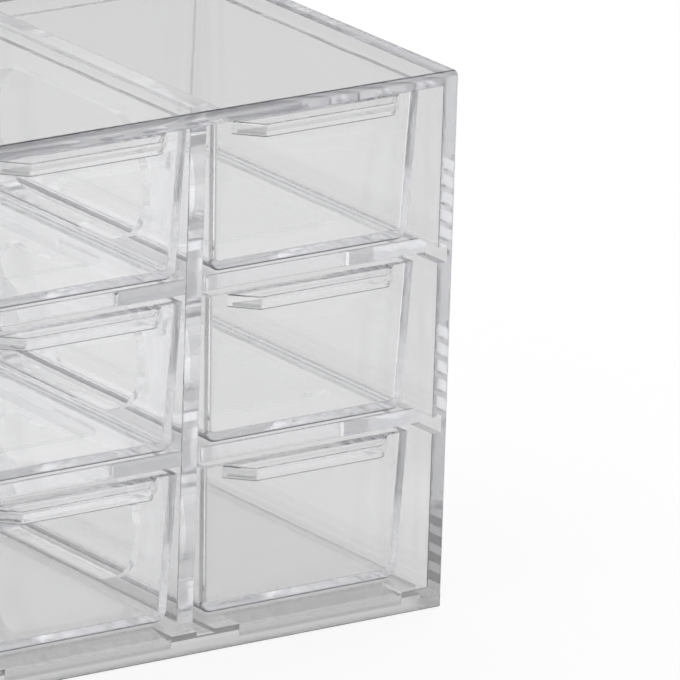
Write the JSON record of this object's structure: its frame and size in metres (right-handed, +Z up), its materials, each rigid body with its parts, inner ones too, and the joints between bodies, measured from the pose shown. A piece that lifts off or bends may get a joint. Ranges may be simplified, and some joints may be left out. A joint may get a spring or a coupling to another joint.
{
  "type": "desktop storage drawer box",
  "caption": "Clear plastic desktop box with pull-out drawers in columns and rows, each with a lip handle, for jewellery, make-up or small stationery.",
  "frame": {"origin": "middle of the footprint, on the surface that the foot rim stands on", "axes": "X along the front, to the right as seen from the front; Y from the open front to the rear wall; Z up"},
  "size_m": [0.19, 0.1, 0.125],
  "materials": {
    "clear_casing": "clear polished polystyrene",
    "clear_plate": "clear polished polystyrene",
    "clear_drawer": "clear polished polystyrene"
  },
  "bodies": {
    "casing": {"casing": "clear_casing", "shelf_upper": "clear_plate", "shelf_lower": "clear_plate", "divider_left": "clear_plate", "divider_right": "clear_plate"},
    "drawer_bottom_left": {"drawer_bottom_left": "clear_drawer"},
    "drawer_bottom_middle": {"drawer_bottom_middle": "clear_drawer"},
    "drawer_bottom_right": {"drawer_bottom_right": "clear_drawer"},
    "drawer_middle_left": {"drawer_middle_left": "clear_drawer"},
    "drawer_middle_middle": {"drawer_middle_middle": "clear_drawer"},
    "drawer_middle_right": {"drawer_middle_right": "clear_drawer"},
    "drawer_top_left": {"drawer_top_left": "clear_drawer"},
    "drawer_top_middle": {"drawer_top_middle": "clear_drawer"},
    "drawer_top_right": {"drawer_top_right": "clear_drawer"}
  },
  "joints": [
    {"name": "drawer_bottom_left_slide", "type": "slide", "parent": "casing", "child": "drawer_bottom_left", "axis": [0, -1, 0], "range_m": [0, 0.065]},
    {"name": "drawer_bottom_middle_slide", "type": "slide", "parent": "casing", "child": "drawer_bottom_middle", "axis": [0, -1, 0], "range_m": [0, 0.065]},
    {"name": "drawer_bottom_right_slide", "type": "slide", "parent": "casing", "child": "drawer_bottom_right", "axis": [0, -1, 0], "range_m": [0, 0.065]},
    {"name": "drawer_middle_left_slide", "type": "slide", "parent": "casing", "child": "drawer_middle_left", "axis": [0, -1, 0], "range_m": [0, 0.065]},
    {"name": "drawer_middle_middle_slide", "type": "slide", "parent": "casing", "child": "drawer_middle_middle", "axis": [0, -1, 0], "range_m": [0, 0.065]},
    {"name": "drawer_middle_right_slide", "type": "slide", "parent": "casing", "child": "drawer_middle_right", "axis": [0, -1, 0], "range_m": [0, 0.065]},
    {"name": "drawer_top_left_slide", "type": "slide", "parent": "casing", "child": "drawer_top_left", "axis": [0, -1, 0], "range_m": [0, 0.065]},
    {"name": "drawer_top_middle_slide", "type": "slide", "parent": "casing", "child": "drawer_top_middle", "axis": [0, -1, 0], "range_m": [0, 0.065]},
    {"name": "drawer_top_right_slide", "type": "slide", "parent": "casing", "child": "drawer_top_right", "axis": [0, -1, 0], "range_m": [0, 0.065]}
  ]
}
